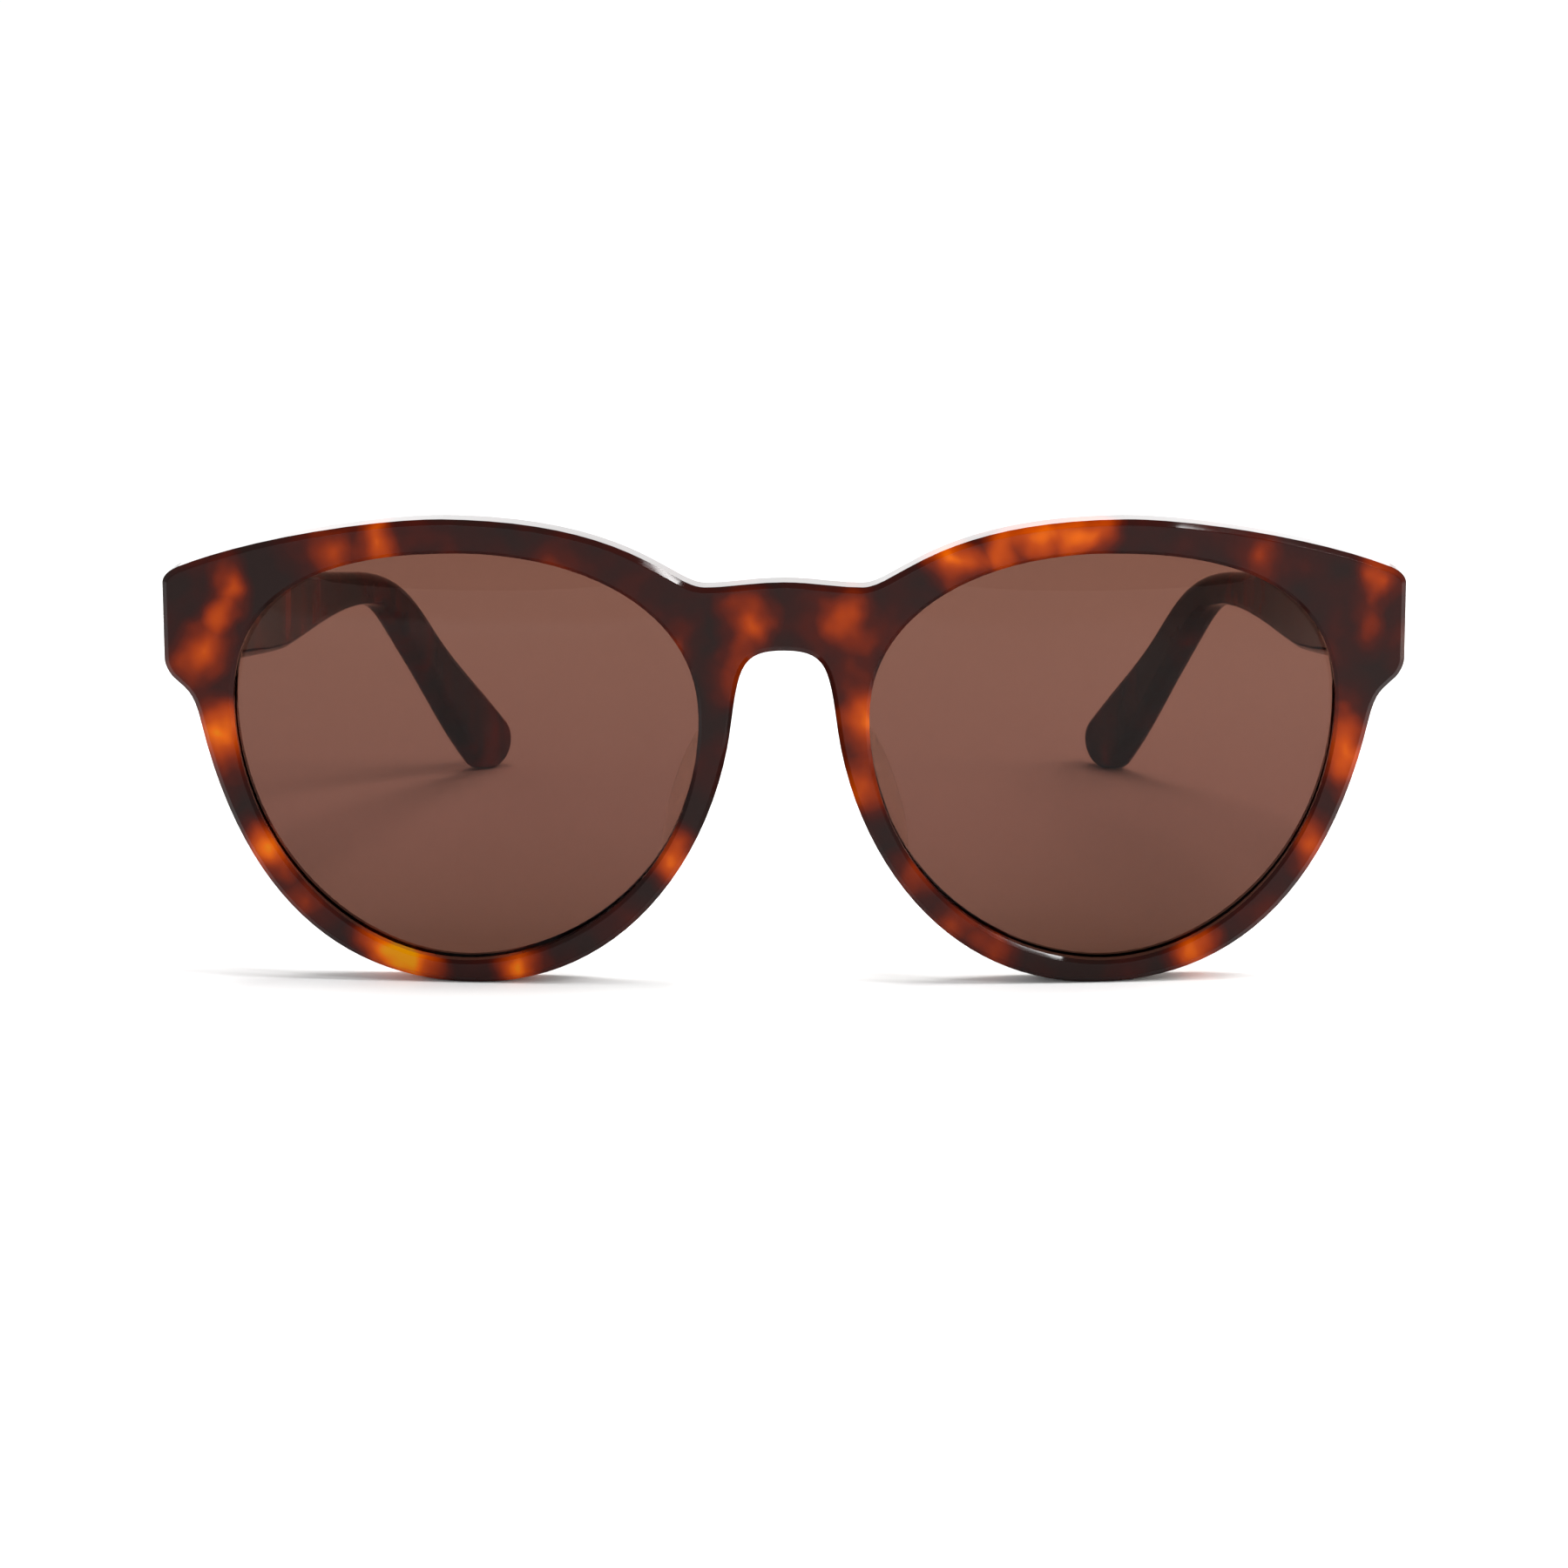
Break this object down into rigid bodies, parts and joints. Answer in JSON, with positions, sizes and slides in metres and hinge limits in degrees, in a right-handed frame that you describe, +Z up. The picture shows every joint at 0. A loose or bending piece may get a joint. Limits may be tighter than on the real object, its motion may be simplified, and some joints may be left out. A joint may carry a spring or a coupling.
{
  "type": "cat eye sunglasses",
  "caption": "Cat eye sunglasses: tortoiseshell acetate front with brown lenses and glued clear nose pads, and folding acetate temples on screwed knuckle hinges.",
  "frame": {"origin": "centre of the bounding box on the floor, with the sunglasses standing open on their rims and temple tips", "axes": "+X to the viewer's right seen from in front, the lenses face -Y and the temples run towards +Y, +Z up"},
  "size_m": [0.1444, 0.139, 0.0541],
  "materials": {
    "tortoise_acetate": "polished tortoiseshell cellulose acetate, dark brown with red and amber clouds",
    "brown_lens": "polished solid brown tint",
    "clear_acetate": "polished clear acetate",
    "hinge_steel": "satin nickel silver",
    "screw_steel": "polished steel",
    "wire_steel": "drawn nickel silver"
  },
  "bodies": {
    "front": {"front_frame": "tortoise_acetate", "lens_left": "brown_lens", "lens_right": "brown_lens", "nose_pad_left": "clear_acetate", "nose_pad_right": "clear_acetate", "hinge_front_left": "hinge_steel", "hinge_front_right": "hinge_steel", "hinge_screw_left": "screw_steel", "hinge_screw_right": "screw_steel"},
    "temple_left": {"temple_left": "tortoise_acetate", "hinge_temple_left": "hinge_steel", "core_wire_left": "wire_steel"},
    "temple_right": {"temple_right": "tortoise_acetate", "hinge_temple_right": "hinge_steel", "core_wire_right": "wire_steel"}
  },
  "joints": [
    {"name": "fold_left", "type": "hinge", "parent": "front", "child": "temple_left", "pos_m": [-0.06555, -0.0576, 0.0423], "axis": [0, 0, -1], "range_deg": [0, 80]},
    {"name": "fold_right", "type": "hinge", "parent": "front", "child": "temple_right", "pos_m": [0.06555, -0.0576, 0.0423], "axis": [0, 0, 1], "range_deg": [0, 72]}
  ]
}
